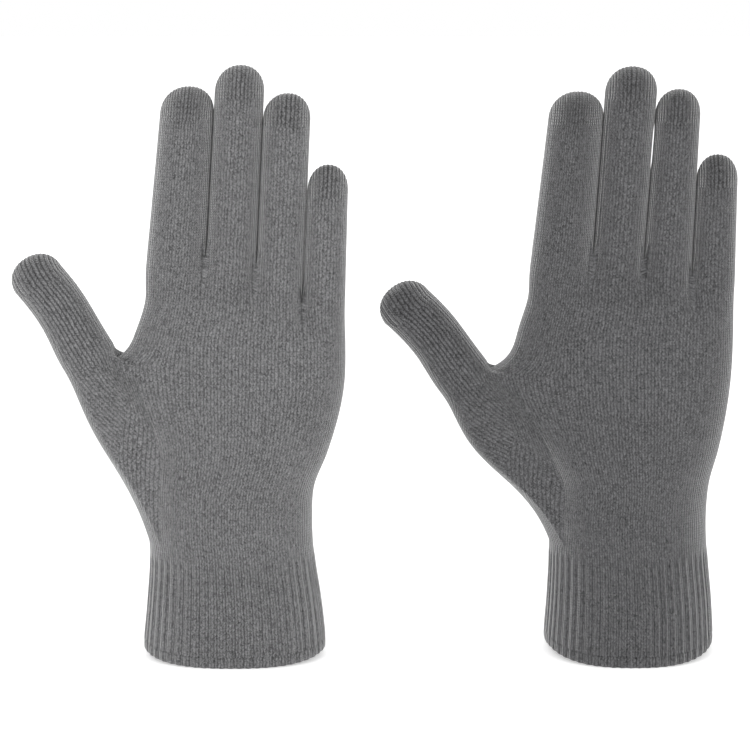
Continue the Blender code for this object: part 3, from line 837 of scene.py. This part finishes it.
def emboss(tree, height, depth):
    """The height, from 0 to 1, as relief that is as deep as the depth in millimetres."""
    relief = tree.nodes.new("ShaderNodeBump")
    relief.inputs["Distance"].default_value = depth * MM
    tree.links.new(height, relief.inputs["Height"])
    tree.links.new(relief.outputs[0], tree.nodes["Principled BSDF"].inputs["Normal"])


def knit_group():
    """Plain knit: each wale is a column of Vs, whose two legs lean towards its middle.

    With a the distance from the wale's middle, 0 to 1 at its edge, a leg's roundness is 1 - a^3, and its
    height follows a cosine of the course count less a slant times a. Every leg has a shade of its own. The colour is
    painted darker where the height is low, at the wale's edge, and in the grooves by the painted groove shade:
    painted shade in the stitch gaps.
    """
    inputs = ("Wale", "Course", "Gather", "Heather", "Seed")
    group, given, out = node_group("plain knit", ("Shade", "Height"), inputs)
    m = Maths(group)
    links = group.links
    place = group.nodes.new("ShaderNodeTexCoord").outputs["Object"]
    drift = m("MULTIPLY", noise(group, place, 160.0), 0.28)
    wale = m("ADD", given.outputs["Wale"], drift)
    course = m("ADD", given.outputs["Course"], drift)
    across = m("SUBTRACT", m("FRACT", wale), 0.5)
    a = m("MULTIPLY", m("ABSOLUTE", across), 2.0)
    leg = m("SUBTRACT", 1.0, m("POWER", a, 3.0))
    slanted = m("SUBTRACT", course, m("MULTIPLY", a, 0.75))
    wave = m("COSINE", m("MULTIPLY", slanted, 2 * math.pi))
    stitch = m("MULTIPLY_ADD", wave, 0.24, 0.76)
    height = m("MULTIPLY", leg, stitch)
    cell = group.nodes.new("ShaderNodeCombineXYZ")
    links.new(m("FLOOR", m("MULTIPLY", wale, 2.0)), cell.inputs[0])
    links.new(m("FLOOR", m("MULTIPLY", slanted, 1.6)), cell.inputs[1])
    links.new(given.outputs["Seed"], cell.inputs[2])
    white = group.nodes.new("ShaderNodeTexWhiteNoise")
    links.new(cell.outputs[0], white.inputs["Vector"])
    speck = m("SUBTRACT", white.outputs["Value"], 0.5)
    fibre = m("MULTIPLY", noise(group, place, 1700.0), 3.2)
    cloud = m("MULTIPLY", noise(group, place, 45.0, 3.0), 0.16)
    heather = m("MULTIPLY", m("ADD", speck, fibre), given.outputs["Heather"])
    # Painted shade: the colour darkens where the stitch is low, at the wale's edge and in the grooves.
    edge = m("POWER", a, 3.5)
    relief = m("MULTIPLY_ADD", height, 0.44, 0.74)
    deep = m("MULTIPLY", m("POWER", a, 1.8), given.outputs["Gather"])
    lit = m("SUBTRACT", relief, m("ADD", m("MULTIPLY", edge, 0.20), m("MULTIPLY", deep, 0.95)))
    shade = m("MULTIPLY", m("ADD", m("ADD", 1.0, heather), cloud), lit)
    links.new(m("MAXIMUM", shade, 0.08), out.inputs["Shade"])
    loft = m("ADD", height, m("MULTIPLY", fibre, 0.15))
    links.new(m("SUBTRACT", loft, deep), out.inputs["Height"])
    return group


def yarn_material(name, colour, group, wale, course, heather, seed, bump):
    """Matt yarn with a soft sheen: the knit's shade times the yarn's colour, and its height as relief."""
    material = bpy.data.materials.new(name)
    material.use_nodes = True
    tree = material.node_tree
    shader = tree.nodes["Principled BSDF"]
    shader.inputs["Roughness"].default_value = 0.95
    shader.inputs["Specular IOR Level"].default_value = 0.15
    shader.inputs["Sheen Weight"].default_value = 0.8
    shader.inputs["Sheen Roughness"].default_value = 0.35
    m = Maths(tree)
    uv = tree.nodes.new("ShaderNodeUVMap")
    uv.uv_map = "knit"
    split = tree.nodes.new("ShaderNodeSeparateXYZ")
    tree.links.new(uv.outputs["UV"], split.inputs[0])
    # The painted shade in the grooves, read from the mesh's attribute.
    gather = tree.nodes.new("ShaderNodeAttribute")
    gather.attribute_name = "gather"
    knit = tree.nodes.new("ShaderNodeGroup")
    knit.node_tree = group
    tree.links.new(m("DIVIDE", split.outputs[0], wale / MM), knit.inputs["Wale"])
    tree.links.new(m("DIVIDE", split.outputs[1], course / MM), knit.inputs["Course"])
    tree.links.new(gather.outputs["Fac"], knit.inputs["Gather"])
    knit.inputs["Heather"].default_value = heather
    knit.inputs["Seed"].default_value = seed
    tint(tree, colour, knit.outputs["Shade"])
    emboss(tree, knit.outputs["Height"], bump)
    return material


def plain_material(name, colour, roughness):
    material = bpy.data.materials.new(name)
    material.use_nodes = True
    shader = material.node_tree.nodes["Principled BSDF"]
    shader.inputs["Base Color"].default_value = (*colour, 1.0)
    shader.inputs["Roughness"].default_value = roughness
    return material


def woven_material(name, colour, pitch):
    """Woven elastic: cords laid round the band, as a sine of the height, with uneven shade in each."""
    material = plain_material(name, colour, 0.85)
    tree = material.node_tree
    m = Maths(tree)
    place = tree.nodes.new("ShaderNodeTexCoord").outputs["Object"]
    split = tree.nodes.new("ShaderNodeSeparateXYZ")
    tree.links.new(place, split.inputs[0])
    cord = m("SINE", m("MULTIPLY", split.outputs[2], 2 * math.pi / pitch))
    uneven = m("MULTIPLY", noise(tree, place, 1500.0), 0.5)
    # The colour follows the cords' sine, darker between them: painted shade; the noise is the cords' uneven tone.
    tint(tree, colour, m("ADD", m("MULTIPLY_ADD", cord, 0.14, 0.86), uneven))
    emboss(tree, cord, 0.25)
    return material


class KnitSettings(bpy.types.PropertyGroup):
    right_colour: bpy.props.FloatVectorProperty(
        name="Right yarn", description="Colour of its yarn", subtype="COLOR", default=(0.150, 0.150, 0.153)
    )
    left_colour: bpy.props.FloatVectorProperty(
        name="Left yarn", description="Colour of its yarn", subtype="COLOR", default=(0.100, 0.100, 0.103)
    )
    front_columns: bpy.props.IntProperty(
        name="Columns per finger", description="Grid columns on the front of a finger", default=48
    )
    side_columns: bpy.props.IntProperty(
        name="Columns per side", description="Grid columns on the side of a finger", default=20
    )
    thumb_reach: bpy.props.IntProperty(
        name="Thumb opening", description="Columns of the palm's front that the thumb takes", default=16
    )
    row_step: bpy.props.FloatProperty(
        name="Row step", description="Height of a grid row", default=0.0012, unit="LENGTH"
    )
    wale: bpy.props.FloatProperty(
        name="Wale", description="Width of one column of stitches", default=0.00135, unit="LENGTH"
    )
    course: bpy.props.FloatProperty(
        name="Course", description="Height of one row of stitches", default=0.00105, unit="LENGTH"
    )
    rib_pitch: bpy.props.FloatProperty(
        name="Rib pitch", description="From one rib of the cuff to the next", default=0.0036, unit="LENGTH"
    )
    rib_depth: bpy.props.FloatProperty(
        name="Rib depth", description="Height of a rib over the cuff's mean", default=0.00026, unit="LENGTH"
    )
    rib_top: bpy.props.FloatProperty(
        name="Rib top", description="Height at which the ribs have faded out", default=0.047, unit="LENGTH"
    )
    hem_height: bpy.props.FloatProperty(
        name="Hem", description="Height of the hem", default=0.0050, unit="LENGTH"
    )
    fabric: bpy.props.FloatProperty(
        name="Fabric", description="Thickness of the knitted fabric", default=0.0014, unit="LENGTH"
    )
    tip_zone: bpy.props.FloatProperty(
        name="Tip", description="Length of the fingertip in conductive yarn", default=0.013, unit="LENGTH"
    )


def build_side(side, settings):
    """Builds one glove's skins with normals shared across their seams, so that no seam shows."""
    hand = Hand(side, settings)
    hand.build_body()
    pieces = {"hem": hand.hem_skin(), **hand.body_skins()}
    planes = {}
    for k, finger in enumerate(FINGERS):
        skins, heights = hand.finger(k)
        planes[finger] = [np.array([hand.finger_line(k, z)[0], hand.middle[1], z]) for z in heights]
        pieces.update({f"{finger}_{part}": skin for part, skin in skins.items()})
    skins, planes["thumb"] = hand.thumb()
    pieces.update({f"thumb_{part}": skin for part, skin in skins.items()})
    names = [name for name in pieces if name != "hem"]
    normals = dict(zip(names, vertex_normals([pieces[name] for name in names])))
    normals["hem"] = vertex_normals([pieces["hem"]])[0]
    materials = yarns(side, settings)
    made = {}
    for name, skin in pieces.items():
        kind = "rib" if name in ("hem", "cuff") else "tip" if name.endswith("_tip") else "knit"
        thickness = HEM_WALL if name == "hem" else settings.fabric / MM
        made[name] = skin_object(f"{side}_{name}_knitted", skin, normals[name], thickness, materials[kind])
    attach(side, made, planes)


def yarns(side, settings):
    """One glove's three knits: plain, ribbed, and the slightly darker and coarser conductive one."""
    group = bpy.data.node_groups.get("plain knit") or knit_group()
    seed = SEEDS[side]
    colour = tuple(getattr(settings, f"{side}_colour"))
    dark = tuple(0.97 * c for c in colour)
    wale, course = settings.wale, settings.course
    name = f"{side} conductive knit"
    return {
        "knit": yarn_material(f"{side} knit", colour, group, wale, course, 0.66, seed, 0.26),
        "rib": yarn_material(f"{side} rib", colour, group, wale, course, 0.70, seed + 1, 0.26),
        "tip": yarn_material(name, dark, group, 1.15 * wale, 1.1 * course, 0.66, seed + 2, 0.45),
    }


def attach(side, made, planes):
    """Each piece rides its body or stays fixed where it lies between two, and the solids it covers are hidden."""
    cuff, palm = f"{side}_cuff", f"{side}_hand"
    for name in ("hem", "cuff"):
        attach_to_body(made[name], cuff)
    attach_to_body(made["palm"], palm)
    for name in ("wrist", "thumb_root"):
        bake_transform(made[name])
    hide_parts(f"{side}_cuff_hem")
    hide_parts(f"{side}_ribbed_cuff")
    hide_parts(palm)
    for finger, places in planes.items():
        parts = ("base", "end") if finger == "thumb" else LENGTHS
        bodies = [palm] + [f"{side}_{finger}_{part}" for part in parts]
        for part, a, b, start, end in zip(parts, bodies, bodies[1:], places, places[1:]):
            piece = made[f"{finger}_{part}"]
            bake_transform(piece)
            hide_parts(b)
        tip = made[f"{finger}_tip"]
        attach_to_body(tip, bodies[-1])
        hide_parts(f"{side}_{finger}_tip")


class GLOVES_OT_knit(bpy.types.Operator):
    """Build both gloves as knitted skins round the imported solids"""

    bl_idname = "gloves.knit"
    bl_label = "Knit the gloves"

    def execute(self, context):
        for side in ("right", "left"):
            build_side(side, context.scene.knit_settings)
        return {"FINISHED"}


class GLOVES_OT_elastic(bpy.types.Operator):
    """Give the elastic bands inside the cuffs a woven white finish"""

    bl_idname = "gloves.elastic"
    bl_label = "Finish the elastic"

    def execute(self, context):
        elastic = woven_material("white elastic", (0.62, 0.62, 0.60), 0.0012)
        for side in ("right", "left"):
            for slot in frame["nodes"][f"{side}_cuff_elastic"].material_slots:
                slot.material = elastic
        return {"FINISHED"}


class GLOVES_OT_studio(bpy.types.Operator):
    """Add the pale floor, soft light and the camera"""

    bl_idname = "gloves.studio"
    bl_label = "Set up the studio"

    def execute(self, context):
        scene = context.scene
        scene.view_settings.view_transform = "Standard"
        world = bpy.data.worlds.new("pale room")
        world.use_nodes = True
        background = world.node_tree.nodes["Background"]
        background.inputs["Color"].default_value = (1, 1, 1, 1)
        background.inputs["Strength"].default_value = 1.0
        scene.world = world
        mesh = bpy.data.meshes.new("floor")
        r = FLOOR_REACH
        mesh.from_pydata([(-r, -r, 0), (r, -r, 0), (r, r, 0), (-r, r, 0)], [], [(0, 1, 2, 3)])
        floor = bpy.data.objects.new("floor", mesh)
        pale = plain_material("pale floor", (0.8, 0.8, 0.8), 0.9)
        shader = pale.node_tree.nodes["Principled BSDF"]
        shader.inputs["Emission Color"].default_value = (1, 1, 1, 1)
        shader.inputs["Emission Strength"].default_value = FLOOR_GLOW
        mesh.materials.append(pale)
        scene.collection.objects.link(floor)
        for name, place, width, power in LIGHTS:
            light = bpy.data.lights.new(name, "AREA")
            light.shape = "DISK"
            light.size = width
            light.energy = power
            lamp = bpy.data.objects.new(name, light)
            lamp.location = place
            lamp.rotation_mode = "QUATERNION"
            lamp.rotation_quaternion = (Vector(LIGHT_TARGET) - Vector(place)).to_track_quat("-Z", "Y")
            scene.collection.objects.link(lamp)
        target = Vector(CAMERA_TARGET)
        camera = bpy.data.objects.new("camera", bpy.data.cameras.new("camera"))
        away = Vector((0.0, -math.cos(CAMERA_TILT), math.sin(CAMERA_TILT)))
        camera.location = target + CAMERA_DISTANCE * away
        camera.rotation_mode = "QUATERNION"
        camera.rotation_quaternion = (target - camera.location).to_track_quat("-Z", "Y")
        camera.data.lens = CAMERA_LENS
        camera.data.sensor_width = 36.0
        scene.collection.objects.link(camera)
        scene.camera = camera
        return {"FINISHED"}


class GLOVES_PT_panel(bpy.types.Panel):
    bl_idname = "GLOVES_PT_panel"
    bl_label = "Gloves"
    bl_space_type = "VIEW_3D"
    bl_region_type = "UI"
    bl_category = "Gloves"

    def draw(self, context):
        settings = context.scene.knit_settings
        for name in settings.bl_rna.properties.keys():
            if name not in ("rna_type", "name"):
                self.layout.prop(settings, name)
        for operator in OPERATORS:
            self.layout.operator(operator.bl_idname)


OPERATORS = (GLOVES_OT_knit, GLOVES_OT_elastic, GLOVES_OT_studio)
CLASSES = (KnitSettings, *OPERATORS, GLOVES_PT_panel)


def register():
    for cls in CLASSES:
        bpy.utils.register_class(cls)
    bpy.types.Scene.knit_settings = bpy.props.PointerProperty(type=KnitSettings)


def unregister():
    del bpy.types.Scene.knit_settings
    for cls in reversed(CLASSES):
        bpy.utils.unregister_class(cls)


def main():
    """Builds the scene: registers the add-on, then knits the gloves, finishes the elastic and sets up the studio."""
    register()
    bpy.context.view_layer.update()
    bpy.ops.gloves.knit()
    bpy.ops.gloves.elastic()
    bpy.ops.gloves.studio()


if __name__ == "__main__":
    main()
